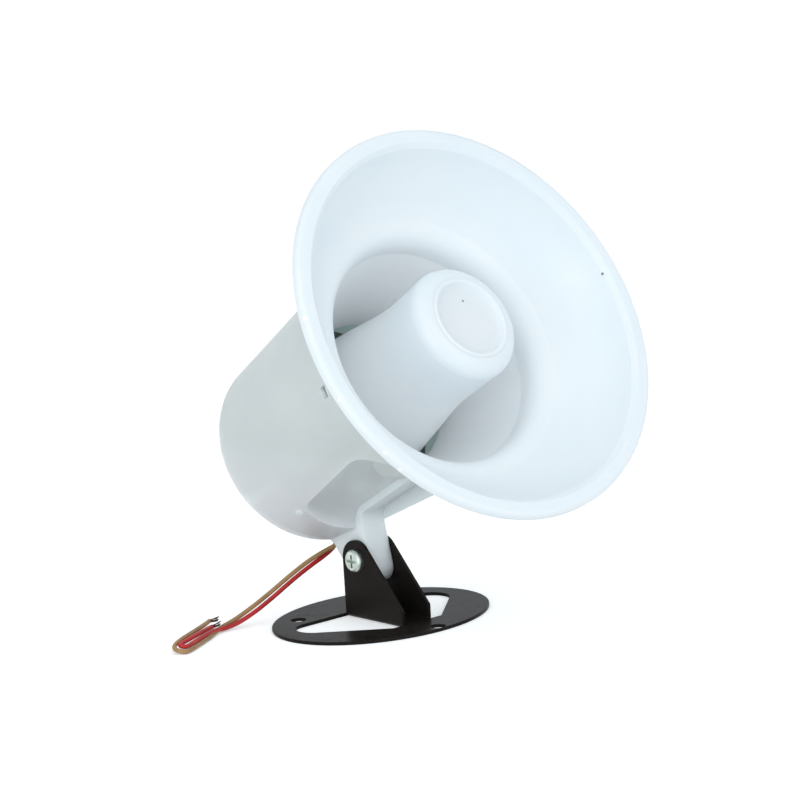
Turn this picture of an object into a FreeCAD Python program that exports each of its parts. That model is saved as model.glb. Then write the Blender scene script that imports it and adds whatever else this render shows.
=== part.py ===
import FreeCAD, Part
import os
from math import cos, hypot, pi, radians, sin, sqrt, tan

# Small public address horn on a folded steel foot. Millimetres, +Z up, +X the way the mouth faces.
# The origin is on the underside of the foot, at the middle of its ellipse.
# Horn pieces are drawn in the horn's own frame: its axis is X, out of the mouth, and the mouth is at x = 0.
# A depth is a distance behind the mouth along that axis.

# How the horn stands
tilt = 29.1
pivot_height = 21.0
pivot_x = -4.1
pivot_to_end = 20.2
pivot_drop = 46.5

# Bell
mouth_radius = 70.0
lip_width = 5.0
lip_height = 3.2
lip_front = 1.9
lip_round = 1.6
lip_inner_slope = 1.6
bell_wall = 1.9
flare_radius = 46.6
flare_depth = 20.3
flare_sag = 2.3
collar_turn = 1.4
collar_swell = 0.3
throat_swell = 0.4
sleeve_wall = 1.6
sleeve_length = 15.0
throat_step = 3.0
throat_radius = 38.9
funnel_depth = 62.0
funnel_radius = 27.0
funnel_wall = 1.5
hook_clearance = 0.25
hook_height = 1.3
hook_flat_share = 0.3

# Rear can
can_front_depth = 27.0
can_front_radius = 43.1
can_rear_radius = 35.4
can_round = 13.0
can_wall = 1.8
tag_room = 4.0
sleeve_clearance = 0.15
window_depth = 35.5
window_length = 3.0
window_width = 4.0
window_angle = 94.0
scoop_floor = 31.0
scoop_turn = 12.2
scoop_front = 31.5
scoop_to_end = 24.0
scoop_front_round = 18.0
scoop_back_round = 9.0
scoop_clearance = 0.3
lug_width = 10.2
lug_round = 5.6
lug_end = (-1.2, -3.2)
web_face = 33.0
lug_front_top = (8.8, 10.3)
lug_rear_top = (-9.4, 9.8)
lug_root = 13.0
lug_shoulder = 2.0
web_turn = 4.0
web_pull = 1.0
rib_width = 2.0
nub_to_end = 25.0
nub_angle = 136.0
nub_radius = 1.5
nub_height = 0.9
nub_round = 0.63
nub_hole = 0.7
nub_hole_step = 3.2

# Reflector plug
plug_front = 4.6
plug_radius = 20.4
plug_round = 5.6
plug_waist = 20.0
plug_wall = 1.6
recess_radius = 13.3
recess_deep = 1.9
recess_slope = 2.6
recess_pull = 0.6
ring_width = 1.6
ring_rise = 0.5
skirt_radius = 26.2
skirt_depth = 74.0
plug_lean_up = 3.0
plug_lean_side = 2.5
plug_lean_depth = 60.0
foot_radius = 2.6
foot_circle = 23.5
foot_turn = 60.0
foot_sunk = 8.0
# Shares of the side's length and of its rise from waist to skirt, after the one at the front rounding
plug_side = ((0.19, 0.0), (0.37, 0.02), (0.59, 0.34), (0.83, 0.71), (1.0, 1.0))

# Throat tube and its flange
tube_mouth_depth = 18.0
tube_mouth_bore = 9.2
tube_throat_bore = 5.0
tube_wall = 1.6
skirt_to_flange = 9.0
flange_thickness = 2.5
flange_edge_gap = 0.6
hub_radius = 18.6
hub_rise = 2.7
chamber_depth = 3.2

# Driver, from the flange backwards
rim_radius = 26.0
chamber_radius = 16.4
gasket_thickness = 0.5
film = 0.3
dome_radius = 12.4
dome_height = 2.6
surround_inner = 13.4
surround_rise = 1.0
ring_thickness = 2.0
plate_thickness = 4.0
magnet_radius = 27.5
magnet_bore = 15.8
magnet_thickness = 9.0
magnet_edge = 0.5
yoke_thickness = 4.0
coil_inner = 12.6
coil_outer = 13.2
coil_length = 5.8
coil_gap = 0.5

# Screws inside
post_circle = 31.0
post_radius = 3.2
post_angles = (0.0, 115.0, 245.0)
post_past_yoke = 5.7
flange_screw_radius = 1.4
flange_screw_length = 13.0
flange_screw_head = 2.7
stack_circle = 22.2
stack_angles = (0.0, 120.0, 240.0)
stack_screw_radius = 1.25
stack_screw_length = 8.2
stack_screw_head = 2.2
screw_clearance = 0.1
head_share = 0.7
crown_share = 0.5
cross_long_share = 0.6
cross_short_share = 0.12
overcut = 1.0

# Terminals
board_width = 17.0
board_height = 9.0
board_thickness = 1.4
board_drop = 14.0
board_corner = 1.0
tag_spacing = 8.0
tag_width = 3.0
tag_thickness = 0.5
tag_height = 4.5
tag_foot_height = 5.4
lead_gap = 0.05
lead_drop = 3.5
red_lead_inside = 5.5
brown_lead_inside = 8.0

# Wire exit
exit_to_end = 6.5
exit_side = 1.0
exit_slant = 35.0
wire_diameter = 1.6
wire_pitch = 1.8
grommet_wall = 0.9
grommet_proud = 0.8
grommet_fit = 0.02

# Foot
foot_length = 83.2
foot_width = 65.0
sheet = 1.2
sheet_edge = 0.25
ear_gap = 10.8
ear_round = 7.1
ear_back = 7.1
ear_front = 22.75
ear_corner = 6.1
bend_inside = 0.5
lance_clearance = 0.4
rear_hole_x = -17.6
rear_hole_spacing = 46.0
front_hole_x = 29.5
mount_hole_radius = 2.8

# Pivot screw set
screw_radius = 2.0
running_clearance = 0.08
ear_hole_clearance = 0.15
head_radius = 4.0
head_height = 2.1
head_crown = 1.155
shank_chamfer = 0.5
cross_width = 0.95
cross_span = 4.6
cross_depth = 1.4
nut_flats = 7.0
nut_height = 2.2
nut_cone_base = 1.6
nut_cone_top = 0.7
nut_cone_past = 0.3
screw_end = 0.2

# Wires: route points in the part's frame, chosen along the photograph's run
red_route = [
    (-22.75, 0.54, 24.54), (-21.8, -0.84, 22.82), (-22.8, -5.3, 20.0), (-23.3, -11.4, 17.6),
    (-24.3, -19.2, 13.8), (-25.7, -27.0, 9.1), (-27.5, -34.4, 4.8), (-29.4, -41.0, 1.8), (-30.6, -46.2, 0.9),
]
brown_route = [
    (-21.18, 0.54, 25.42), (-20.23, -0.84, 23.7), (-22.0, -5.5, 22.0), (-24.2, -11.6, 19.2),
    (-25.5, -19.4, 15.2), (-27.1, -27.2, 10.5), (-29.0, -34.6, 6.2), (-31.1, -41.2, 2.7), (-32.4, -46.2, 1.0),
]
hank_outline = [
    (-29.3, -46.6), (-17.3, -73.6), (-18.9, -77.6), (-23.3, -78.6), (-27.9, -75.2),
    (-45.9, -46.6), (-44.7, -41.4), (-39.9, -39.4), (-35.7, -42.2), (-33.9, -46.6),
]
hank_height = 4.0
hank_round = 1.5

V = FreeCAD.Vector
AXIS = V(1, 0, 0)
EIGHTH = sqrt(0.5)
funnel_slope = (funnel_radius - throat_radius) / (funnel_depth - can_front_depth - throat_step)
flange_front = skirt_depth + skirt_to_flange
flange_back = flange_front + flange_thickness
film_front = flange_back + gasket_thickness
film_back = film_front + film
plate_front = film_back + ring_thickness
plate_back = plate_front + plate_thickness
magnet_back = plate_back + magnet_thickness
yoke_back = magnet_back + yoke_thickness
post_end = yoke_back + post_past_yoke
can_end_depth = yoke_back + board_thickness + tag_height + tag_room + can_wall
can_slope = (can_rear_radius - can_front_radius) / (can_end_depth - can_round - can_front_depth)
pivot_depth = can_end_depth - pivot_to_end
scoop_back = can_end_depth - scoop_to_end
nub_depth = can_end_depth - nub_to_end
exit_depth = can_end_depth - exit_to_end
fold = ear_gap / 2 + sheet
hook_angles = (window_angle, 360 - window_angle)


def point(depth, radius):
    return V(-depth, 0, radius)


def line(a, b):
    return Part.LineSegment(point(*a), point(*b)).toShape()


def arc(a, middle, b):
    return Part.Arc(point(*a), point(*middle), point(*b)).toShape()


def bezier(*poles):
    made = Part.BezierCurve()
    made.setPoles(list(poles))
    return made.toShape()


def bend(a, corner, b):
    """A curve from a to b that leaves and arrives along the lines to the corner."""
    return bezier(point(*a), point(*corner), point(*b))


def curve(*points):
    spline = Part.BSplineCurve()
    spline.interpolate([point(*p) for p in points])
    return spline.toShape()


def path(*points):
    return [line(a, b) for a, b in zip(points, points[1:])]


def turned(*edges):
    """The solid that a closed half section makes about the horn's axis."""
    return Part.Face(Part.Wire(list(edges))).revolve(V(0, 0, 0), AXIS, 360)


def ring(front, back, inner, outer):
    return turned(*path((front, inner), (front, outer), (back, outer), (back, inner), (front, inner)))


def rod(front, back, radius, circle=0.0, angle=0.0):
    """A cylinder along the axis, on a circle of the given radius, its angle counted from the top."""
    y, z = circle * sin(radians(angle)), circle * cos(radians(angle))
    return Part.makeCylinder(radius, back - front, V(-front, y, z), V(-1, 0, 0))


def rods(front, back, radius, circle, angles):
    return [rod(front, back, radius, circle, angle) for angle in angles]


def spun(shape, angle):
    """Turns a shape drawn at the top of the horn to its angle about the axis."""
    copy = shape.copy()
    copy.rotate(V(0, 0, 0), AXIS, -angle)
    return copy


def can_radius(depth):
    return can_front_radius + (depth - can_front_depth) * can_slope


def sleeve_radius(depth):
    return can_radius(depth) - can_wall - sleeve_clearance


def funnel_outside(depth):
    """Outer radius of the funnel that carries the throat back into the can."""
    return throat_radius + funnel_wall + (depth - can_front_depth - throat_step) * funnel_slope


def moved(spot, heading, distance):
    return spot[0] + heading[0] * distance, spot[1] + heading[1] * distance


def offset_arc(a, b, sag, away):
    """Ends and middle of an arc beside the line from a to b, moved off it by a wall thickness."""
    length = hypot(b[0] - a[0], b[1] - a[1])
    normal = ((a[1] - b[1]) / length, (b[0] - a[0]) / length)
    middle = ((a[0] + b[0]) / 2, (a[1] + b[1]) / 2)
    return moved(a, normal, away), moved(middle, normal, away + sag), moved(b, normal, away)


def bell():
    inner_edge = (0.0, mouth_radius - lip_width - lip_inner_slope)
    flare_end = (flare_depth, flare_radius)
    front = offset_arc(inner_edge, flare_end, flare_sag, 0.0)
    back = offset_arc(inner_edge, flare_end, flare_sag, bell_wall)
    lip_back = lip_height - lip_front
    step = (can_front_depth, can_front_radius)
    seat = (can_front_depth, sleeve_radius(can_front_depth))
    tip_depth = can_front_depth + sleeve_length
    tip_outer = (tip_depth, sleeve_radius(tip_depth))
    tip_inner = (tip_depth, sleeve_radius(tip_depth) - sleeve_wall)
    spare = funnel_outside(can_front_depth) + sleeve_wall - sleeve_radius(can_front_depth)
    fork_depth = can_front_depth + spare / (can_slope - funnel_slope)
    fork = (fork_depth, funnel_outside(fork_depth))
    throat = (can_front_depth + throat_step, throat_radius)
    lip_top = (-lip_front, mouth_radius - lip_round)
    lip_side = (-lip_front + lip_round, mouth_radius)
    turn = lip_round * (1 - EIGHTH)
    shell = turned(
        line(inner_edge, (-lip_front, mouth_radius - lip_width)),
        line((-lip_front, mouth_radius - lip_width), lip_top),
        arc(lip_top, (-lip_front + turn, mouth_radius - turn), lip_side),
        line(lip_side, (lip_back, mouth_radius)),
        line((lip_back, mouth_radius), back[0]),
        arc(*back),
        bend(back[2], (back[2][0] + collar_turn, step[1] + collar_swell), step),
        line(step, seat),
        line(seat, tip_outer),
        line(tip_outer, tip_inner),
        line(tip_inner, fork),
        line(fork, (funnel_depth, funnel_outside(funnel_depth))),
        line((funnel_depth, funnel_outside(funnel_depth)), (funnel_depth, funnel_radius)),
        line((funnel_depth, funnel_radius), throat),
        bend(throat, (flare_depth + collar_turn, throat[1] + throat_swell), flare_end),
        arc(front[2], front[1], front[0]),
    )
    shell = shell.fuse([spun(hook(), angle) for angle in hook_angles])
    return shell.cut(scoop(can_wall + sleeve_clearance)).removeSplitter()


def hook():
    """The snap hook on the sleeve, which catches in the can's window."""
    length = window_length - 2 * hook_clearance
    width = window_width - 2 * hook_clearance
    front = window_depth - length / 2
    root = sleeve_radius(window_depth) - sleeve_wall / 2
    crest = sleeve_radius(window_depth) + hook_height
    foot = sleeve_radius(window_depth) + sleeve_clearance
    outline = [
        point(front, root), point(front, crest), point(front + length * hook_flat_share, crest),
        point(front + length, foot), point(front + length, root), point(front, root),
    ]
    face = Part.Face(Part.makePolygon(outline))
    face.translate(V(0, -width / 2, 0))
    return face.extrude(V(0, width, 0))


def can_body(wall):
    """The can's solid cone with its rounded end, smaller round and behind by a wall, and longer in front."""
    front = (can_front_depth - wall, can_radius(can_front_depth - wall) - wall)
    shoulder_depth = can_end_depth - can_round
    shoulder = (shoulder_depth, can_rear_radius - wall)
    small = can_round - wall
    centre = (shoulder_depth, can_rear_radius - can_round)
    middle = (centre[0] + small * EIGHTH, centre[1] + small * EIGHTH)
    corner = (centre[0] + small, centre[1])
    return turned(
        line((front[0], 0), front),
        line(front, shoulder),
        arc(shoulder, middle, corner),
        line(corner, (corner[0], 0)),
        line((corner[0], 0), (front[0], 0)),
    )


def scoop(wall):
    """The dished recess under the can as a tool, drawn larger all round by a wall.

    It is open on one side and ends at the lug's far face. Its floor is turned towards the open side, and
    follows the funnel where the funnel is wider.
    """
    front, back = scoop_front - wall, scoop_back + wall
    span = 2 * can_front_radius
    top = wall - scoop_floor
    block = Part.makeBox(back - front, span, can_front_radius)
    block.translate(V(-back, -can_front_radius, top - can_front_radius))
    block = rounded_end(block, top, -back, scoop_back_round + wall)
    block = rounded_end(block, top, -front, scoop_front_round + wall)
    block.rotate(V(0, 0, 0), AXIS, -scoop_turn)
    side = Part.makeBox(can_end_depth, span, span)
    side.translate(V(-can_end_depth, lug_width / 2 + wall - span, -span))
    spare = can_wall + scoop_clearance - wall
    floor = funnel_outside(funnel_depth) + spare
    funnel = turned(*path(
        (0, 0), (0, funnel_outside(0) + spare), (funnel_depth, floor),
        (can_end_depth, floor), (can_end_depth, 0), (0, 0),
    ))
    return block.common(side).cut(funnel)


def rounded_end(block, top, x, radius):
    """Rounds the upper edge of a block at one end."""
    upper = [e for e in block.Edges if e.BoundBox.ZMin > top - 0.01]
    return block.makeFillet(radius, [e for e in upper if abs(e.BoundBox.Center.x - x) < 0.01])


def lug_outline():
    """Web and lug seen from the side, from the pivot: x towards the mouth, z towards the axis."""
    top = pivot_drop - scoop_floor + 2 * can_wall
    face = pivot_drop - web_face
    front_x, front_z = lug_front_top
    rear_x, rear_z = lug_rear_top
    root_x = rear_x - lug_shoulder
    web_end = pivot_depth - scoop_front + can_wall
    touch_front = tangent_on_round(front_x, front_z, 1)
    touch_rear = tangent_on_round(rear_x, rear_z, -1)
    return [
        ("line", (web_end, top), (web_end, face)),
        ("line", (web_end, face), (front_x + web_turn, face)),
        ("curve", (front_x + web_turn, face), (front_x + web_pull, face), (front_x, front_z)),
        ("line", (front_x, front_z), touch_front),
        ("round", touch_front, touch_rear),
        ("line", touch_rear, (rear_x, rear_z)),
        ("line", (rear_x, rear_z), (root_x, lug_root)),
        ("line", (root_x, lug_root), (root_x, top)),
        ("line", (root_x, top), (web_end, top)),
    ]


def tangent_on_round(x, z, side):
    """Where a line from a point touches the lug's rounded end, on its front (1) or rear (-1) side."""
    middle_x, middle_z = lug_end
    x_off, z_off = x - middle_x, z - middle_z
    swing = radians(90) - asin_of(lug_round / hypot(x_off, z_off))
    heading = atan_of(z_off, x_off) - side * swing
    return middle_x + lug_round * cos(heading), middle_z + lug_round * sin(heading)


def asin_of(value):
    return atan_of(value, sqrt(1 - value * value))


def atan_of(a, b):
    return V(1, 0, 0).getAngle(V(b, a, 0)) * (1 if a >= 0 else -1)


def from_pivot(x, z):
    """A point on the lug's near face, given from the pivot."""
    return V(x - pivot_depth, -lug_width / 2, z - pivot_drop)


def lug():
    """The lug and the web that carries it, standing off the can's underside."""
    low = from_pivot(lug_end[0], lug_end[1] - lug_round)
    edges = []
    for kind, *points in lug_outline():
        ends = [from_pivot(*p) for p in points]
        if kind == "line":
            edges.append(Part.LineSegment(*ends).toShape())
        elif kind == "curve":
            edges.append(bezier(*ends))
        else:
            edges.append(Part.Arc(ends[0], low, ends[1]).toShape())
    return Part.Face(Part.Wire(edges)).extrude(V(0, lug_width, 0))


def window():
    block = Part.makeBox(window_length, window_width, 4 * can_wall)
    low = can_radius(window_depth) - 2 * can_wall
    block.translate(V(-window_depth - window_length / 2, -window_width / 2, low))
    return block


def nub():
    """A small rounded pip on the can's side."""
    top = can_radius(nub_depth) + nub_height
    height = can_wall / 2 + nub_height
    pin = Part.makeCylinder(nub_radius, height, V(-nub_depth, 0, top - height))
    rim = [e for e in pin.Edges if e.BoundBox.ZMin > top - 0.01]
    return spun(pin.makeFillet(nub_round, rim), -nub_angle)


def posts():
    """Screw posts inside the can, each with a rib to the wall."""
    made = []
    for angle in post_angles:
        rib = Part.makeBox(post_end - flange_back, rib_width, can_front_radius - post_circle)
        rib.translate(V(-post_end, -rib_width / 2, post_circle))
        made.append(rod(flange_back, post_end, post_radius, post_circle, angle))
        made.append(spun(rib, -angle))
    return made


def exit_surface():
    """How far below the axis the can's outside lies where the wires leave it."""
    past = exit_depth - (can_end_depth - can_round)
    return can_rear_radius - can_round + sqrt(can_round ** 2 - max(0.0, past) ** 2)


def exit_point(x_step, outwards):
    """A point on a wire's line through the exit, that far outside the can's skin."""
    drop = exit_surface() + outwards * cos(radians(exit_slant))
    return V(-exit_depth + x_step, exit_side - outwards * sin(radians(exit_slant)), -drop)


def wire_exit(radius, inside, outside):
    """An oblong tool along both wires' lines, from a distance inside the can's skin to one outside it."""
    half = wire_pitch / 2
    out = exit_point(0, 1) - exit_point(0, 0)
    length = inside + outside
    ends = [Part.makeCylinder(radius, length, exit_point(x, -inside), out) for x in (-half, half)]
    middle = Part.makeBox(wire_pitch, 2 * radius, length)
    middle.translate(V(-exit_depth - half, exit_side - radius, -exit_surface() - outside))
    middle.rotate(exit_point(0, 0), AXIS, -exit_slant)
    return ends[0].fuse([ends[1], middle]).removeSplitter()


def rear_can():
    outer = can_body(0.0).cut(scoop(0.0)).fuse(lug())
    inner = can_body(can_wall).cut(scoop(can_wall))
    shell = outer.cut(inner)
    inside = [p.common(can_body(can_wall / 2)) for p in posts()]
    shell = shell.fuse([nub()] + inside)
    holes = [spun(window(), angle) for angle in hook_angles]
    screw_end_depth = flange_front + flange_screw_length + overcut
    screw_bore = flange_screw_radius + screw_clearance / 2
    holes += rods(flange_back - overcut, screw_end_depth, screw_bore, post_circle, post_angles)
    pivot = V(-pivot_depth, -lug_width, -pivot_drop)
    holes.append(Part.makeCylinder(screw_radius + running_clearance, 2 * lug_width, pivot, V(0, 1, 0)))
    holes.append(wire_exit(wire_diameter / 2 + grommet_wall, 3 * can_wall, 3 * can_wall))
    mark_base = can_radius(nub_depth) - can_wall * 0.4
    mark = Part.makeCylinder(nub_hole, can_wall * 0.5, V(-nub_depth, 0, mark_base))
    holes.append(spun(mark, -nub_angle - nub_hole_step / can_radius(nub_depth) * 180 / pi))
    return shell.cut(holes).removeSplitter()


def plug_points(wall):
    """The plug's side from its front rounding to the end of its skirt, drawn smaller by a wall."""
    waist = plug_waist - wall
    skirt = skirt_radius - wall
    front = plug_front + plug_round
    span = skirt_depth - front
    rise = skirt - waist
    side = [(front + a * span, waist + b * rise) for a, b in plug_side]
    return [(front, plug_radius - wall)] + side


def reflector_plug():
    """The closed bullet in the mouth: dished front in a raised ring, waisted side, flared skirt and feet."""
    side, bore = plug_points(0.0), plug_points(plug_wall)
    floor = plug_front + recess_deep
    inner_front = floor + plug_wall
    inner_shoulder = (max(bore[0][0], inner_front + overcut), bore[0][1])
    inner_edge = (inner_front, bore[0][1] - plug_round / 2)
    floor_edge = (floor, recess_radius - recess_slope)
    ring_inner = (plug_front, recess_radius)
    ring_outer = (plug_front, recess_radius + ring_width)
    crest = (plug_front - ring_rise, recess_radius + ring_width / 2)
    face_edge = (plug_front, side[0][1] - plug_round)
    turn = plug_round * (1 - EIGHTH)
    bullet = turned(
        line((floor, 0), floor_edge),
        bend(floor_edge, (floor, recess_radius - recess_pull), ring_inner),
        arc(ring_inner, crest, ring_outer),
        line(ring_outer, face_edge),
        arc(face_edge, (plug_front + turn, side[0][1] - turn), side[0]),
        curve(*side),
        line(side[-1], bore[-1]),
        curve(*bore[:0:-1], inner_shoulder),
        line(inner_shoulder, inner_edge),
        line(inner_edge, (inner_front, 0)),
        line((inner_front, 0), (floor, 0)),
    )
    hinge = point(plug_lean_depth, 0)
    bullet.rotate(hinge, V(0, 1, 0), -plug_lean_up)
    bullet.rotate(hinge, V(0, 0, 1), plug_lean_side)
    foot_angles = [angle + foot_turn for angle in stack_angles]
    feet = rods(skirt_depth - foot_sunk, flange_front, foot_radius, foot_circle, foot_angles)
    return bullet.fuse(feet).removeSplitter()


def throat_tube():
    hub_front = flange_front - hub_rise
    chamber_front = flange_back - chamber_depth
    edge = can_radius(flange_back) - can_wall - flange_edge_gap
    outer_mouth = tube_mouth_bore + tube_wall
    outer_throat = tube_throat_bore + tube_wall
    body = turned(*path(
        (tube_mouth_depth, tube_mouth_bore), (chamber_front, tube_throat_bore),
        (chamber_front, chamber_radius), (flange_back, chamber_radius), (flange_back, edge),
        (flange_front, edge), (flange_front, hub_radius), (hub_front, hub_radius), (hub_front, outer_throat),
        (tube_mouth_depth, outer_mouth), (tube_mouth_depth, tube_mouth_bore),
    ))
    front, back = flange_front - overcut, flange_back + overcut
    holes = rods(front, back, flange_screw_radius + screw_clearance, post_circle, post_angles)
    holes += stack_holes(front, back)
    return body.cut([scoop(can_wall + flange_edge_gap)] + holes)


def stack_holes(front, back, clearance=screw_clearance):
    return rods(front, back, stack_screw_radius + clearance, stack_circle, stack_angles)


def drilled(shape, front, back):
    """Cuts the driver screws' holes through a shape that lies between two depths."""
    return shape.cut(stack_holes(front - overcut, back + overcut))


def gasket():
    return drilled(ring(flange_back, film_front, chamber_radius, rim_radius), flange_back, film_front)


def film_side(front):
    """One side of the diaphragm: rim, rolled surround, flat seat of the coil and dome."""
    sphere = (dome_radius ** 2 + dome_height ** 2) / (2 * dome_height)
    half = dome_radius / 2
    half_depth = front - dome_height + sphere - sqrt(sphere ** 2 - half ** 2)
    roll = (chamber_radius + surround_inner) / 2
    return [
        line((front, rim_radius), (front, chamber_radius)),
        arc((front, chamber_radius), (front - surround_rise, roll), (front, surround_inner)),
        line((front, surround_inner), (front, dome_radius)),
        arc((front, dome_radius), (half_depth, half), (front - dome_height, 0)),
    ]


def diaphragm():
    front, back = film_side(film_front), film_side(film_back)
    closing = [
        line((film_front - dome_height, 0), (film_back - dome_height, 0)),
        line((film_back, rim_radius), (film_front, rim_radius)),
    ]
    return drilled(turned(*Part.sortEdges(front + back + closing)[0]), film_front, film_back)


def voice_coil():
    return ring(film_back, film_back + coil_length, coil_inner, coil_outer)


def clamp_ring():
    return drilled(ring(film_back, plate_front, chamber_radius, rim_radius), film_back, plate_front)


def top_plate():
    blank = ring(plate_front, plate_back, coil_outer + coil_gap, rim_radius)
    return blank.cut(stack_holes(plate_front - overcut, plate_back + overcut, screw_clearance / 4))


def magnet():
    blank = ring(plate_back, magnet_back, magnet_bore, magnet_radius)
    flat = [e for e in blank.Edges if e.BoundBox.XLength < 0.01]
    return blank.makeChamfer(magnet_edge, [e for e in flat if e.BoundBox.ZLength > 2 * magnet_radius - 0.1])


def yoke():
    pole = coil_inner - coil_gap
    return turned(*path(
        (plate_front, 0), (plate_front, pole), (magnet_back, pole), (magnet_back, rim_radius),
        (yoke_back, rim_radius), (yoke_back, 0), (plate_front, 0),
    ))


def pan_screw(front, length, radius, head, circle, angle):
    """A screw along the axis with its pan head towards the mouth and a cross recess in it."""
    height = head * head_share
    cap = rod(front - height, front, head, circle, angle)
    crown = [e for e in cap.Edges if e.BoundBox.XMin > -front + height - 0.01]
    shank = rod(front, front + length, radius, circle, angle)
    shape = cap.makeFillet(height * crown_share, crown).fuse(shank)
    y, z = circle * sin(radians(angle)), circle * cos(radians(angle))
    long, short = head * cross_long_share, head * cross_short_share
    bars = []
    for half_y, half_z in ((long, short), (short, long)):
        bar = Part.makeBox(height, 2 * half_y, 2 * half_z)
        bar.translate(V(-front + height / 2, y - half_y, z - half_z))
        bars.append(bar)
    return shape.cut(bars)


def flange_screws():
    size = (flange_screw_length, flange_screw_radius, flange_screw_head)
    return Part.makeCompound([pan_screw(flange_front, *size, post_circle, angle) for angle in post_angles])


def stack_screws():
    size = (stack_screw_length, stack_screw_radius, stack_screw_head)
    return Part.makeCompound([pan_screw(flange_front, *size, stack_circle, angle) for angle in stack_angles])


def terminal_board():
    board = Part.makeBox(board_thickness, board_width, board_height)
    board.translate(V(-yoke_back - board_thickness, -board_width / 2, -board_drop - board_height / 2))
    edges = [e for e in board.Edges if abs(e.BoundBox.XLength - board_thickness) < 0.01]
    return board.makeFillet(board_corner, edges)


def tag(side):
    """A soldering tag: a foot on the board and a tab standing off it."""
    back = yoke_back + board_thickness
    low = -board_drop - tag_foot_height / 2
    foot = Part.makeBox(tag_thickness, tag_width, tag_foot_height)
    foot.translate(V(-back - tag_thickness, side - tag_width / 2, low))
    tab = Part.makeBox(tag_height, tag_width, tag_thickness)
    tab.translate(V(-back - tag_height, side - tag_width / 2, low))
    return foot.fuse(tab).removeSplitter()


def solder_tags():
    return Part.makeCompound([tag(-tag_spacing / 2), tag(tag_spacing / 2)])


def grommet():
    """The soft bush in the exit, with both wires through it."""
    radius = wire_diameter / 2
    bush = wire_exit(radius + grommet_wall - grommet_fit, can_wall + grommet_proud, grommet_proud)
    out = exit_point(0, 1) - exit_point(0, 0)
    starts = [exit_point(x, -3 * can_wall) for x in (-wire_pitch / 2, wire_pitch / 2)]
    return bush.cut([Part.makeCylinder(radius + grommet_fit, 6 * can_wall, start, out) for start in starts])


def inner_lead(side, x_step, reach):
    """The wire's end inside the can, from its tag through the bush."""
    radius = wire_diameter / 2
    low = -board_drop - tag_foot_height / 2 - lead_gap - radius
    start = V(-yoke_back - board_thickness - tag_height * 0.75, side, low)
    first = V(start.x, side, low - lead_drop)
    return tube([start, first, exit_point(x_step, -reach), exit_point(x_step, grommet_proud)], radius)


def corner_arc(before, corner, after):
    """The arc that rounds a corner of a route, as wide as its two runs allow, and its radius."""
    back, ahead = (before - corner), (after - corner)
    turn = pi - back.getAngle(ahead)
    reach = 0.45 * min(back.Length, ahead.Length)
    radius = reach / tan(turn / 2)
    back.normalize()
    ahead.normalize()
    inwards = back + ahead
    inwards.normalize()
    middle = corner + inwards * (radius / cos(turn / 2) - radius)
    return (corner + back * reach, middle, corner + ahead * reach), radius


def tube(points, radius):
    """A round cord of straight runs joined by arcs."""
    edges, radii = [], []
    here = points[0]
    for before, corner, after in zip(points, points[1:], points[2:]):
        ends, bend_radius = corner_arc(before, corner, after)
        edges.append(Part.LineSegment(here, ends[0]).toShape())
        edges.append(Part.Arc(*ends).toShape())
        radii.append(round(bend_radius, 1))
        here = ends[2]
    edges.append(Part.LineSegment(here, points[-1]).toShape())
    route = Part.Wire(edges)
    section = Part.Wire(Part.makeCircle(radius, points[0], points[1] - points[0]))
    solid = route.makePipeShell([section], True, False)
    share = solid.Volume / (pi * radius ** 2 * route.Length)
    print("tube radii", radii, "volume over section x length", round(share, 4))
    return solid


def free_wire(route):
    return tube([V(*p) for p in route], wire_diameter / 2)


def wire_hank():
    """The outer shape of the folded ends of both wires, lying on the floor."""
    corners = [V(x, y, 0.0) for x, y in hank_outline]
    block = Part.Face(Part.makePolygon(corners + corners[:1])).extrude(V(0, 0, hank_height))
    upright = [e for e in block.Edges if e.BoundBox.ZLength > hank_height - 0.01]
    return block.makeFillet(hank_round, upright)


def ear_profile(grown):
    """An ear's outline from the pivot, x towards the front, drawn larger all round and down to the floor."""
    top = ear_round + grown
    front = ear_front + grown
    corner_z = ear_corner - pivot_height
    far = hypot(front, corner_z)
    lean = atan_of(corner_z, front) + radians(90) - asin_of(top / far)
    touch = V(top * cos(lean), 0, top * sin(lean))
    foot = -pivot_height
    back = -ear_back - grown
    shoulder = V(top * cos(radians(120)), 0, top * sin(radians(120)))
    edges = [
        Part.LineSegment(V(back, 0, foot), V(back, 0, 0)).toShape(),
        Part.Arc(V(back, 0, 0), shoulder, touch).toShape(),
        Part.LineSegment(touch, V(front, 0, corner_z)).toShape(),
        Part.LineSegment(V(front, 0, corner_z), V(front, 0, foot)).toShape(),
        Part.LineSegment(V(front, 0, foot), V(back, 0, foot)).toShape(),
    ]
    return Part.Face(Part.Wire(edges))


def ear_opening(side):
    """The opening that an ear's blank leaves in the sheet: the ear's outline laid flat outside its fold."""
    face = ear_profile(lance_clearance)
    face.rotate(V(0, 0, -pivot_height), AXIS, -90 * side)
    face.translate(V(pivot_x, side * (fold - bend_inside - sheet), pivot_height - 1))
    return face.extrude(V(0, 0, sheet + 2))


def section_line(a, b):
    return Part.LineSegment(V(0, *a), V(0, *b)).toShape()


def fold_round(centre, radius, upwards):
    """The quarter round of a fold in the sheet's section, between its flat and its upright side."""
    y, z = centre
    ends = [V(0, y, z - radius), V(0, y + radius * EIGHTH, z - radius * EIGHTH), V(0, y + radius, z)]
    return Part.Arc(*(ends if upwards else ends[::-1])).toShape()


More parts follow.
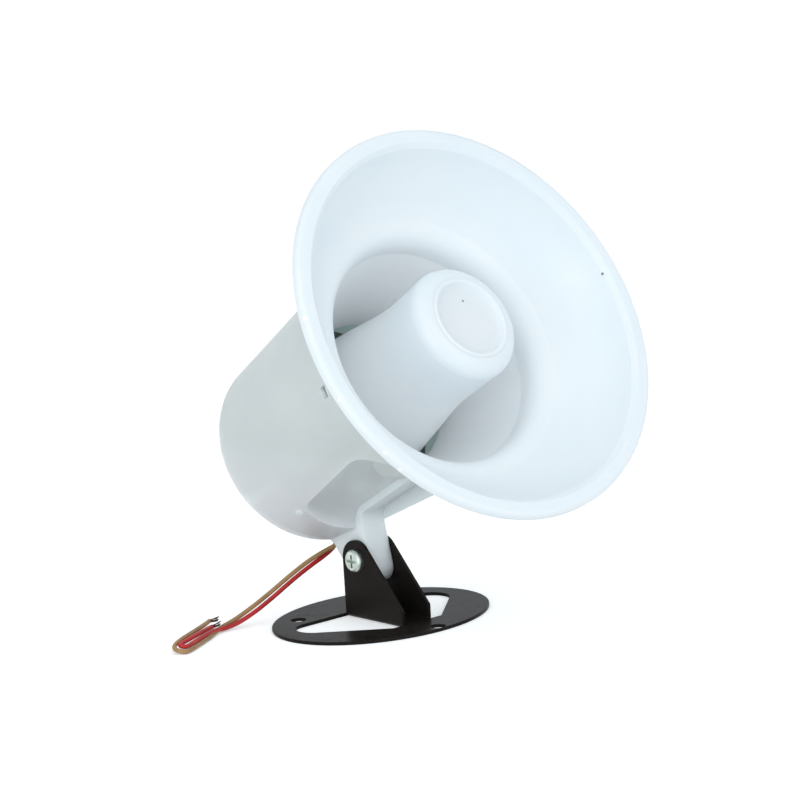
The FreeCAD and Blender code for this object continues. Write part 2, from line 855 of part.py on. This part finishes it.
def channel():
    """The two ears and the strip between them, as one folded section."""
    gap = ear_gap / 2
    top = pivot_height + ear_round
    centre = (gap - bend_inside, sheet + bend_inside)
    right = [
        section_line((0, 0), (centre[0], 0)),
        fold_round(centre, bend_inside + sheet, True),
        section_line((fold, centre[1]), (fold, top)),
        section_line((fold, top), (gap, top)),
        section_line((gap, top), (gap, centre[1])),
        fold_round(centre, bend_inside, False),
        section_line((centre[0], sheet), (0, sheet)),
        section_line((0, sheet), (0, 0)),
    ]
    wing = Part.Face(Part.Wire(right)).extrude(V(ear_back + ear_front, 0, 0))
    wing.translate(V(pivot_x - ear_back, 0, 0))
    other = wing.mirror(V(0, 0, 0), V(0, 1, 0))
    outline = ear_profile(0.0)
    outline.translate(V(pivot_x, -2 * fold, pivot_height))
    return wing.fuse(other).common(outline.extrude(V(0, 4 * fold, 0)))


def bracket():
    """The foot: an elliptical sheet with two ears lanced out of it and folded up."""
    major, minor = foot_length / 2, foot_width / 2
    ellipse = Part.Ellipse(V(0, major, 0), V(-minor, 0, 0), V(0, 0, 0))
    plate = Part.Face(Part.Wire(ellipse.toShape())).extrude(V(0, 0, sheet))
    rims = [e for e in plate.Edges if e.BoundBox.ZLength < 0.01]
    plate = plate.makeFillet(sheet_edge, rims)
    plate = plate.cut([ear_opening(1), ear_opening(-1)])
    side = rear_hole_spacing / 2
    holes = [(rear_hole_x, side), (rear_hole_x, -side), (front_hole_x, 0.0)]
    tools = [Part.makeCylinder(mount_hole_radius, 3 * sheet, V(x, y, -sheet)) for x, y in holes]
    tools.append(pivot_piece(along_y(screw_radius + ear_hole_clearance, -2 * fold, 2 * fold)))
    return plate.fuse(channel()).removeSplitter().cut(tools)


def pivot_piece(shape):
    """Moves a shape that is drawn about the Y axis to the pivot."""
    shape.translate(V(pivot_x, 0, pivot_height))
    return shape


def along_y(radius, start, end):
    return Part.makeCylinder(radius, end - start, V(0, start, 0), V(0, 1, 0))


def pivot_screw():
    seat = -fold
    head = along_y(head_radius, seat - head_height, seat)
    crown = [e for e in head.Edges if e.BoundBox.YMax < seat - head_height + 0.01]
    head = head.makeFillet(head_crown, crown)
    end = fold + nut_height + screw_end
    shank = along_y(screw_radius, seat, end)
    tip = [e for e in shank.Edges if e.BoundBox.YMin > end - 0.01]
    shank = shank.makeChamfer(shank_chamfer, tip)
    bars = []
    for span_x, span_z in ((cross_span, cross_width), (cross_width, cross_span)):
        bar = Part.makeBox(span_x, cross_depth, span_z)
        bar.translate(V(-span_x / 2, seat - head_height, -span_z / 2))
        bars.append(bar)
    return pivot_piece(head.fuse(shank).cut(bars))


def pivot_nut():
    far = nut_flats / sqrt(3)
    corners = [V(far * cos(radians(60 * i)), fold, far * sin(radians(60 * i))) for i in range(7)]
    blank = Part.Face(Part.makePolygon(corners)).extrude(V(0, nut_height, 0))
    length = nut_height + 2 * nut_cone_past
    start = V(0, fold - nut_cone_past, 0)
    cone = Part.makeCone(far + nut_cone_base, far - nut_cone_top, length, start, V(0, 1, 0))
    bore = along_y(screw_radius + screw_clearance / 4, fold - overcut, fold + nut_height + overcut)
    return pivot_piece(blank.common(cone).cut(bore))


def raised(shape):
    """Stands a horn piece on the pivot at the horn's tilt."""
    shape.translate(V(pivot_depth, 0, pivot_drop))
    shape.rotate(V(0, 0, 0), V(0, 1, 0), -tilt)
    shape.translate(V(pivot_x, 0, pivot_height))
    return shape


horn_pieces = {
    "bell": bell(),
    "rear_can": rear_can(),
    "reflector_plug": reflector_plug(),
    "throat_tube": throat_tube(),
    "gasket": gasket(),
    "diaphragm": diaphragm(),
    "voice_coil": voice_coil(),
    "clamp_ring": clamp_ring(),
    "top_plate": top_plate(),
    "magnet": magnet(),
    "yoke": yoke(),
    "flange_screws": flange_screws(),
    "driver_screws": stack_screws(),
    "terminal_board": terminal_board(),
    "solder_tags": solder_tags(),
    "grommet": grommet(),
    "red_inner_lead": inner_lead(-tag_spacing / 2, -wire_pitch / 2, red_lead_inside),
    "brown_inner_lead": inner_lead(tag_spacing / 2, wire_pitch / 2, brown_lead_inside),
}
foot_pieces = {
    "bracket": bracket(),
    "pivot_screw": pivot_screw(),
    "pivot_nut": pivot_nut(),
    "red_wire": free_wire(red_route),
    "brown_wire": free_wire(brown_route),
    "wire_hank": wire_hank(),
}

os.makedirs("parts", exist_ok=True)
pieces = {name: raised(shape) for name, shape in horn_pieces.items()}
pieces.update(foot_pieces)
for name, shape in pieces.items():
    print(f"{name:18s} solids {len(shape.Solids)} valid {shape.isValid()} volume {shape.Volume:.1f}")
    shape.exportStep(f"parts/{name}.step")
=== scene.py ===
import bmesh
import bpy
from math import cos, pi, radians, sin
from mathutils import Matrix, Vector


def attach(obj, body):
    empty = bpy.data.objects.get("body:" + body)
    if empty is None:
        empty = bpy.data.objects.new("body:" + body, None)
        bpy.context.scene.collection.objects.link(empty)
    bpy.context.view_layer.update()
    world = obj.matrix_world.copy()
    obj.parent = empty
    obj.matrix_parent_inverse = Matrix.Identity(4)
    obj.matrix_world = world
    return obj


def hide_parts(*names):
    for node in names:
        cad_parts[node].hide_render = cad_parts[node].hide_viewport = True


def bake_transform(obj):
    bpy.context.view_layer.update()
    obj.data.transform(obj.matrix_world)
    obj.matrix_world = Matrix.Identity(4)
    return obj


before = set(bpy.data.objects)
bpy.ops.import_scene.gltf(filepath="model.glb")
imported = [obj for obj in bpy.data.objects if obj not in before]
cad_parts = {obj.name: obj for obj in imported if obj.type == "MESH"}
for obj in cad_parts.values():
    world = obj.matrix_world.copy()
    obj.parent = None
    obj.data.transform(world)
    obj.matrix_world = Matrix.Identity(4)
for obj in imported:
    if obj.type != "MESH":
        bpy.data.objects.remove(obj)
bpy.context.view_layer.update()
MM = 0.001

# The photograph's view
TARGET = Vector((0.0169, 0.0, 0.0785))
DISTANCE = 1.0
AZIMUTH = radians(49.31)
ELEVATION = radians(9.77)
ROLL = radians(-3.5)
LENS = 132.3
SENSOR = 36.0
NEAREST = 0.01
FARTHEST = 200.0

# The way the horn faces, and the way the foot stands
TILT = radians(29.1)
HORN_AXIS = (cos(TILT), 0.0, sin(TILT))
UPWARDS = (0.0, 0.0, 1.0)

# Leads: the route's points in millimetres, the run from the can first and then the folds on the floor
WIRE = 1.6
RED_RUN = [
    (-22.75, 0.54, 24.54), (-21.8, -0.84, 22.82), (-22.8, -5.3, 20.0), (-23.3, -11.4, 17.6),
    (-24.3, -19.2, 13.8), (-25.7, -27.0, 9.1), (-27.5, -34.4, 4.8), (-29.4, -41.0, 1.8), (-30.6, -46.2, 0.9),
]
BROWN_RUN = [
    (-21.18, 0.54, 25.42), (-20.23, -0.84, 23.7), (-22.0, -5.5, 22.0), (-24.2, -11.6, 19.2),
    (-25.5, -19.4, 15.2), (-27.1, -27.2, 10.5), (-29.0, -34.6, 6.2), (-31.1, -41.2, 2.7), (-32.4, -46.2, 1.0),
]
HANK_START = Vector((-30.6, -46.2, 0.0))
HANK_ALONG = Vector((0.4385, -0.8987, 0.0))
HANK_ACROSS = Vector((HANK_ALONG.y, -HANK_ALONG.x, 0.0))
# Points on the hank: how far along it, how far across it, and the height of the wire's middle
RED_HANK = [
    (4.0, 0.5, 1.6), (10.0, 0.6, 2.0), (20.0, 0.2, 2.0), (27.0, -0.2, 2.0), (29.2, 0.0, 2.1),
    (29.4, 2.0, 2.6), (27.0, 2.2, 2.8), (22.0, 2.0, 2.9), (12.0, 2.1, 2.9), (6.0, 2.6, 2.6), (2.5, 3.0, 2.2),
]
BROWN_HANK = [
    (4.0, 0.9, 0.8), (10.0, -0.2, 0.8), (20.0, -0.9, 0.8), (28.0, -1.4, 0.8), (31.0, -1.0, 0.8),
    (31.4, 3.0, 1.6), (28.6, 4.2, 2.6), (22.0, 4.2, 3.2), (12.0, 4.3, 3.4), (3.0, 4.9, 3.4), (-0.5, 5.4, 3.4),
]
# Bare strands past each sheath's end: where they lead, as on the hank
RED_TIP = (0.6, 0.9, 2.9)
BROWN_TIP = (-1.2, 2.4, 4.0)
STRAND = 0.45
STRANDS = 5
# How wide the strands stand, in strand widths: inside the sheath, at its end, at the middle and at the tips
FAN_INSIDE = 0.5
FAN_AT_END = 0.7
FAN_MIDDLE = 1.2
FAN_TIPS = (1, 2)
FAN_FLATNESS = 0.3
FAN_MIDDLE_PLACE = 0.55
TUBE_SIDES = 14
STRAND_SIDES = 8
CURVE_STEPS = 16


def aim_camera():
    """The camera at the photograph's place, looking at its middle."""
    back = Vector((sin(AZIMUTH) * cos(ELEVATION), -cos(AZIMUTH) * cos(ELEVATION), sin(ELEVATION)))
    right = Vector((cos(AZIMUTH), sin(AZIMUTH), 0.0))
    up = back.cross(right)
    across = right * cos(ROLL) + up * sin(ROLL)
    upright = up * cos(ROLL) - right * sin(ROLL)
    data = bpy.data.cameras.new("photo_view")
    data.lens = LENS
    data.sensor_width = SENSOR
    data.clip_start = NEAREST
    data.clip_end = FARTHEST
    camera = bpy.data.objects.new("photo_view", data)
    turn = Matrix((across, upright, back)).transposed().to_4x4()
    camera.matrix_world = Matrix.Translation(TARGET + back * DISTANCE) @ turn
    bpy.context.collection.objects.link(camera)
    bpy.context.scene.camera = camera


def link(name, mesh):
    obj = bpy.data.objects.new(name, mesh)
    bpy.context.collection.objects.link(obj)
    return obj


def made_mesh(name, mesh):
    """Turns a bmesh into mesh data of the given name, and frees it."""
    data = bpy.data.meshes.new(name)
    mesh.to_mesh(data)
    mesh.free()
    return data


def smooth_path(points):
    """The points along the smooth curve that has the route's points as its control points, in metres."""
    data = bpy.data.curves.new("route", "CURVE")
    data.dimensions = "3D"
    spline = data.splines.new("NURBS")
    spline.points.add(len(points) - 1)
    for spot, p in zip(spline.points, points):
        spot.co = (p[0] * MM, p[1] * MM, p[2] * MM, 1.0)
    spline.order_u = 3
    spline.use_endpoint_u = True
    spline.resolution_u = CURVE_STEPS
    obj = bpy.data.objects.new("route", data)
    line = bpy.data.meshes.new_from_object(obj)
    path = [v.co.copy() for v in line.vertices]
    bpy.data.objects.remove(obj)
    bpy.data.curves.remove(data)
    bpy.data.meshes.remove(line)
    return path


def lengths_along(path):
    """Distance from the first point to each point of a path."""
    total = [0.0]
    for a, b in zip(path, path[1:]):
        total.append(total[-1] + (b - a).length)
    return total


def headings(path):
    """The way a path runs at each of its points."""
    before = path[:1] + path[:-1]
    after = path[1:] + path[-1:]
    return [(b - a).normalized() for a, b in zip(before, after)]


def add_tube(mesh, uv, path, radius, sides):
    """One closed tube along a path, its ring carried from point to point without a twist."""
    along = lengths_along(path)
    angles = [2 * pi * k / sides for k in range(sides)]
    tangents = headings(path)
    side = tangents[0].orthogonal().normalized()
    rings = []
    for spot, tangent in zip(path, tangents):
        side = (side - tangent * side.dot(tangent)).normalized()
        other = tangent.cross(side)
        rings.append([mesh.verts.new(spot + (side * cos(t) + other * sin(t)) * radius) for t in angles])
    for i, (a, b) in enumerate(zip(rings, rings[1:])):
        for k in range(sides):
            face = mesh.faces.new((a[k], a[(k + 1) % sides], b[(k + 1) % sides], b[k]))
            face.smooth = True
            for loop, (u, v) in zip(face.loops, ((i, k), (i, k + 1), (i + 1, k + 1), (i + 1, k))):
                loop[uv].uv = (along[u], v / sides)
    mesh.faces.new(rings[0][::-1])
    mesh.faces.new(rings[-1])


def tube_mesh(name, paths, radius, sides):
    """Closed tubes along one or more paths, as one mesh. The UV map runs along each."""
    mesh = bmesh.new()
    uv = mesh.loops.layers.uv.new("along")
    for path in paths:
        add_tube(mesh, uv, path, radius, sides)
    bmesh.ops.recalc_face_normals(mesh, faces=mesh.faces)
    return made_mesh(name, mesh)


def on_hank(spot):
    """A place in millimetres, given as how far along the hank, how far across it, and its height."""
    s, t, z = spot
    p = HANK_START + HANK_ALONG * s + HANK_ACROSS * t
    return (p.x, p.y, z)


def bare_tip(name, hank, tip):
    """The bare strands past the end of a sheath, fanned out a little."""
    root = Vector(on_hank(hank[-1]))
    inside = root + (Vector(on_hank(hank[-2])) - root).normalized() * WIRE
    end = Vector(on_hank(tip))
    middle = root.lerp(end, FAN_MIDDLE_PLACE)
    paths = []
    for k in range(STRANDS):
        turn = 2 * pi * k / STRANDS
        off = Vector((cos(turn), FAN_FLATNESS * sin(turn), sin(turn))) * STRAND
        stops = (
            inside + off * FAN_INSIDE,
            root + off * FAN_AT_END,
            middle + off * FAN_MIDDLE,
            end + off * FAN_TIPS[k % 2],
        )
        paths.append(smooth_path([tuple(p) for p in stops]))
    return link(name, tube_mesh(name, paths, STRAND / 2 * MM, STRAND_SIDES))


def lead(name, run, hank, tip, node):
    """One lead from the can to the hank, a tube that runs from the horn down to the floor by the foot, with a
    bare tip.
    """
    path = smooth_path(run + [on_hank(spot) for spot in hank])
    obj = link(name, tube_mesh(name, [path], WIRE / 2 * MM, TUBE_SIDES))
    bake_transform(obj)
    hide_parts(node, "wire_hank")
    strands = bare_tip(name + "_strands", hank, tip)
    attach(strands, "foot")
    return obj, strands


aim_camera()
bpy.context.scene.view_settings.view_transform = "Standard"
red, red_strands = lead("red_lead", RED_RUN, RED_HANK, RED_TIP, "red_wire")
brown, brown_strands = lead("brown_lead", BROWN_RUN, BROWN_HANK, BROWN_TIP, "brown_wire")

# Patterns of the skin: scales per metre, the part of a noise that shows, and the depth of bumps in metres
DRIFT_SHOWN = (0.35, 0.65)
SLOW_SCALE = 55.0
SLOW_DEPTH = 0.002
FINE_DEPTH = 0.0002
SCUFF_SCALE = 160.0
SCUFF_TWIST = 1.5
SCUFF_SHOWN = (0.6, 0.78)
# The share of a speck's radius that has its full colour
SPECK_CORE = 0.6


def colour(r, g, b):
    return (r, g, b, 1.0)


def put(tree, kind, values=None, **settings):
    """Adds a node; values sets or joins its inputs by name or number."""
    node = tree.nodes.new(kind)
    for key, value in settings.items():
        setattr(node, key, value)
    for key, value in (values or {}).items():
        fill(tree, node.inputs[key], value)
    return node


def fill(tree, socket, value):
    """Joins an input to another node's output, or sets it to a plain value."""
    if isinstance(value, bpy.types.NodeSocket):
        tree.links.new(value, socket)
    else:
        socket.default_value = value


def ramp(tree, factor, low, high, to_low=0.0, to_high=1.0):
    """A value that goes from to_low to to_high while the factor goes from low to high."""
    limits = {"Value": factor, "From Min": low, "From Max": high, "To Min": to_low, "To Max": to_high}
    return put(tree, "ShaderNodeMapRange", limits).outputs["Result"]


def maths(tree, operation, *values):
    return put(tree, "ShaderNodeMath", dict(enumerate(values)), operation=operation).outputs[0]


def mixed(tree, factor, a, b):
    """One colour turning into another; the node's colour sockets have no names of their own."""
    node = put(tree, "ShaderNodeMix", {0: factor, 6: a, 7: b}, data_type="RGBA")
    return node.outputs[2]


def noise(tree, place, scale, detail=3.0, roughness=0.5):
    values = {"Vector": place, "Scale": scale, "Detail": detail, "Roughness": roughness}
    return put(tree, "ShaderNodeTexNoise", values).outputs["Fac"]


def skin_group():
    """Colour, roughness and normal of a skin: slow tint drift, fine grain and a few scuffs."""
    group = bpy.data.node_groups.new("skin", "ShaderNodeTree")
    sockets = group.interface
    for name, kind, value in (
        ("Colour", "Color", colour(0.8, 0.8, 0.8)), ("Drift", "Color", colour(0.7, 0.7, 0.7)),
        ("Roughness", "Float", 0.3), ("Spread", "Float", 0.1), ("Blotch", "Float", 30.0),
        ("Grain", "Float", 900.0), ("Height", "Float", 0.1), ("Wave", "Float", 0.1),
    ):
        socket = sockets.new_socket(name, in_out="INPUT", socket_type="NodeSocket" + kind)
        socket.default_value = value
    for name, kind in (("Colour", "Color"), ("Roughness", "Float"), ("Normal", "Vector")):
        sockets.new_socket(name, in_out="OUTPUT", socket_type="NodeSocket" + kind)
    given = group.nodes.new("NodeGroupInput").outputs
    place = put(group, "ShaderNodeTexCoord").outputs["Object"]
    drift = ramp(group, noise(group, place, given["Blotch"]), *DRIFT_SHOWN)
    slow = noise(group, place, SLOW_SCALE, 2.0)
    fine = noise(group, place, given["Grain"], 4.0, 0.6)
    twisted = {"Vector": place, "Scale": SCUFF_SCALE, "Detail": 6.0, "Distortion": SCUFF_TWIST}
    scuffs = put(group, "ShaderNodeTexNoise", twisted)
    rubbed = ramp(group, scuffs.outputs["Fac"], *SCUFF_SHOWN)
    tone = mixed(group, drift, given["Colour"], given["Drift"])
    spread = maths(group, "ADD", fine, rubbed)
    rough = maths(group, "MULTIPLY_ADD", spread, given["Spread"], given["Roughness"])
    wave = put(group, "ShaderNodeBump", {"Strength": given["Wave"], "Distance": SLOW_DEPTH, "Height": slow})
    bump = put(group, "ShaderNodeBump", {"Strength": given["Height"], "Distance": FINE_DEPTH, "Height": fine,
                                         "Normal": wave.outputs["Normal"]})
    out = group.nodes.new("NodeGroupOutput").inputs
    group.links.new(tone, out["Colour"])
    group.links.new(rough, out["Roughness"])
    group.links.new(bump.outputs["Normal"], out["Normal"])
    return group


SKIN = skin_group()


def material(name, base, drift, roughness, spread, blotch=30.0, grain=900.0, height=0.1, wave=0.1, **shader):
    """A principled material whose colour, roughness and normal come from the skin group."""
    made = bpy.data.materials.new(name)
    made.use_nodes = True
    tree = made.node_tree
    values = {"Colour": colour(*base), "Drift": colour(*drift), "Roughness": roughness, "Spread": spread,
              "Blotch": blotch, "Grain": grain, "Height": height, "Wave": wave}
    skin = put(tree, "ShaderNodeGroup", node_tree=SKIN)
    for key, value in values.items():
        skin.inputs[key].default_value = value
    principled = tree.nodes["Principled BSDF"]
    tree.links.new(skin.outputs["Colour"], principled.inputs["Base Color"])
    tree.links.new(skin.outputs["Roughness"], principled.inputs["Roughness"])
    tree.links.new(skin.outputs["Normal"], principled.inputs["Normal"])
    for key, value in shader.items():
        principled.inputs[key.replace("_", " ")].default_value = value
    return made


def recoloured(made, mask_from_place, tint):
    """Turns a material's base colour to a tint where a mask, made from the place on the piece, says so."""
    tree = made.node_tree
    base = tree.nodes["Principled BSDF"].inputs["Base Color"]
    place = put(tree, "ShaderNodeTexCoord").outputs["Object"]
    tone = mixed(tree, mask_from_place(tree, place), base.links[0].from_socket, colour(*tint))
    tree.links.new(tone, base)


def painted_light_past(made, tint, axis, start, end):
    """Paints light into a material's base colour: turns it to a paler tint along an axis, from one distance
    to another, in metres.
    """
    def mask(tree, place):
        distance = put(tree, "ShaderNodeVectorMath", {0: place, 1: axis}, operation="DOT_PRODUCT")
        return ramp(tree, distance.outputs["Value"], start, end)

    recoloured(made, mask, tint)


def speck(made, tint, x, y, z, radius):
    """A small round mark on a material, its place and radius in millimetres."""
    def mask(tree, place):
        centre = (x * MM, y * MM, z * MM)
        away = put(tree, "ShaderNodeVectorMath", {0: place, 1: centre}, operation="DISTANCE")
        return ramp(tree, away.outputs["Value"], radius * SPECK_CORE * MM, radius * MM, 1.0, 0.0)

    recoloured(made, mask, tint)


def paint(made, *nodes):
    """Gives CAD nodes or pieces one material."""
    for node in nodes:
        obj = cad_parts[node] if isinstance(node, str) else node
        if not obj.data.materials:
            obj.data.materials.append(made)
        for k in range(len(obj.data.materials)):
            obj.data.materials[k] = made


# Each material: its colour, the colour it drifts to, its roughness and how far that spreads
white = material(
    "bell_white", (0.82, 0.885, 0.93), (0.79, 0.87, 0.925), 0.34, 0.08, wave=0.06, height=0.05,
    Subsurface_Weight=0.35, Subsurface_Radius=(0.8, 0.9, 1.0), Subsurface_Scale=0.004,
    Coat_Weight=0.08, Coat_Roughness=0.2,
)
can_white = material(
    "can_white", (0.66, 0.78, 0.755), (0.61, 0.73, 0.71), 0.30, 0.10, wave=0.12, height=0.06,
    Subsurface_Weight=0.7, Subsurface_Radius=(0.8, 1.0, 0.95), Subsurface_Scale=0.010,
    Coat_Weight=0.2, Coat_Roughness=0.15,
)
black = material(
    "black_enamel", (0.012, 0.010, 0.009), (0.018, 0.015, 0.013), 0.26, 0.10, wave=0.05, grain=500.0,
    height=0.10, Specular_IOR_Level=0.06,
)
zinc = material(
    "zinc_plate", (0.74, 0.82, 0.77), (0.60, 0.68, 0.62), 0.28, 0.2, blotch=250.0, grain=2500.0,
    height=0.15, Metallic=1.0,
)
steel = material("magnet_steel", (0.50, 0.51, 0.53), (0.42, 0.43, 0.45), 0.35, 0.2, blotch=90.0, Metallic=1.0)
ferrite = material(
    "ferrite_grey", (0.045, 0.045, 0.05), (0.07, 0.07, 0.075), 0.7, 0.2, blotch=120.0, height=0.3,
)
driver_white = material("driver_white", (0.74, 0.77, 0.77), (0.68, 0.71, 0.72), 0.4, 0.1)
film = material("film_amber", (0.50, 0.30, 0.12), (0.42, 0.25, 0.10), 0.3, 0.1, blotch=200.0)
copper = material("coil_copper", (0.60, 0.26, 0.12), (0.45, 0.18, 0.09), 0.3, 0.1, blotch=500.0, Metallic=1.0)
clamp = material("clamp_metal", (0.60, 0.61, 0.63), (0.52, 0.53, 0.55), 0.35, 0.15, blotch=80.0, Metallic=1.0)
board = material("board_brown", (0.33, 0.19, 0.09), (0.27, 0.15, 0.07), 0.5, 0.1, blotch=300.0)
tin = material("tag_tin", (0.66, 0.64, 0.58), (0.55, 0.52, 0.45), 0.35, 0.2, blotch=400.0, Metallic=1.0)
card = material("seal_card", (0.30, 0.22, 0.15), (0.24, 0.17, 0.12), 0.8, 0.1, blotch=300.0, height=0.4)
rubber = material("grommet_rubber", (0.03, 0.03, 0.03), (0.045, 0.045, 0.045), 0.6, 0.15, blotch=300.0)
red_pvc = material(
    "red_pvc", (0.55, 0.012, 0.012), (0.42, 0.008, 0.010), 0.30, 0.12, blotch=150.0, grain=1600.0,
)
brown_pvc = material(
    "brown_pvc", (0.42, 0.24, 0.10), (0.30, 0.17, 0.07), 0.30, 0.12, blotch=150.0, grain=1600.0,
)
bare_copper = material(
    "bare_copper", (0.10, 0.035, 0.03), (0.05, 0.02, 0.02), 0.5, 0.2, blotch=900.0, Metallic=0.6,
)

# Dark specks in the dished front and on the flare, and white flecks on the lip
DARK = (0.20, 0.20, 0.20)
PALE = (1.0, 1.0, 1.0)
for tint, x, y, z, radius in (
    (DARK, 46.9, 4.3, 113.9, 0.5), (DARK, 53.9, 62.9, 115.7, 0.6), (PALE, 53.7, -68.8, 118.9, 1.1),
    (PALE, 66.7, -67.8, 93.8, 0.9), (PALE, 76.8, -59.0, 76.5, 0.9), (PALE, 78.6, -54.9, 70.5, 1.1),
):
    speck(white, tint, x, y, z, radius)
# Painted light: the white turns paler and cooler down in the throat, lightening the shade that falls there
painted_light_past(white, (0.94, 0.98, 1.0), HORN_AXIS, 0.088, 0.070)
# Painted light: the can turns paler and bluer underneath, lightening the shade that falls below it
painted_light_past(can_white, (0.85, 0.97, 1.0), UPWARDS, 0.066, 0.032)

paint(white, "bell", "reflector_plug")
paint(can_white, "rear_can")
paint(black, "bracket")
paint(zinc, "pivot_screw", "pivot_nut", "flange_screws", "driver_screws")
paint(steel, "top_plate", "yoke")
paint(ferrite, "magnet")
paint(driver_white, "throat_tube")
paint(film, "diaphragm")
paint(copper, "voice_coil")
paint(clamp, "clamp_ring")
paint(board, "terminal_board")
paint(tin, "solder_tags")
paint(card, "gasket")
paint(rubber, "grommet")
paint(red_pvc, "red_inner_lead", red)
paint(brown_pvc, "brown_inner_lead", brown)
paint(bare_copper, red_strands, brown_strands)

# Floor and light: sizes and places in metres
FLOOR_HALF = 40.0
FLOOR_WHITE = colour(0.90, 0.90, 0.90)
FLOOR_LIFT = 0.34
SKY_TINT = colour(0.93, 0.97, 1.0)
SKY_STRENGTH = 0.82
# Each lamp: its name, where it stands, what it faces, its width and height, and its power
LAMPS = (
    ("key", (0.35, -0.85, 1.1), (0.03, 0.0, 0.09), (0.8, 0.8), 1.7),
    ("front", (1.3, 0.35, 0.55), (0.05, 0.0, 0.11), (0.7, 0.7), 2.2),
    ("fill", (0.5, -1.1, 0.25), (0.0, 0.0, 0.05), (0.8, 0.4), 2.4),
)


def floor_white():
    """A pale floor that keeps its shadow, lifted to white where it is seen but not where it lights."""
    made = bpy.data.materials.new("floor_white")
    made.use_nodes = True
    tree = made.node_tree
    tree.nodes.clear()
    path = put(tree, "ShaderNodeLightPath").outputs
    direct = maths(tree, "ADD", path["Is Camera Ray"], path["Is Glossy Ray"])
    seen = maths(tree, "ADD", direct, path["Is Transmission Ray"])
    grey = put(tree, "ShaderNodeBsdfDiffuse", {"Color": FLOOR_WHITE})
    lift = maths(tree, "MULTIPLY", seen, FLOOR_LIFT)
    glow = put(tree, "ShaderNodeEmission", {"Color": colour(1, 1, 1), "Strength": lift})
    both = put(tree, "ShaderNodeAddShader", {0: grey.outputs[0], 1: glow.outputs[0]})
    put(tree, "ShaderNodeOutputMaterial", {"Surface": both.outputs[0]})
    return made


def floor():
    mesh = bmesh.new()
    bmesh.ops.create_grid(mesh, x_segments=1, y_segments=1, size=FLOOR_HALF)
    data = made_mesh("floor", mesh)
    data.materials.append(floor_white())
    obj = link("floor", data)


def sky():
    world = bpy.data.worlds.new("soft_white")
    bpy.context.scene.world = world
    world.use_nodes = True
    background = world.node_tree.nodes["Background"].inputs
    background["Color"].default_value = SKY_TINT
    background["Strength"].default_value = SKY_STRENGTH


def lamp(name, place, target, size, power):
    data = bpy.data.lights.new(name, "AREA")
    data.shape = "RECTANGLE"
    data.size, data.size_y = size
    data.energy = power
    obj = bpy.data.objects.new(name, data)
    obj.location = place
    obj.rotation_euler = (Vector(target) - Vector(place)).to_track_quat("-Z", "Y").to_euler()
    bpy.context.collection.objects.link(obj)


floor()
sky()
for values in LAMPS:
    lamp(*values)
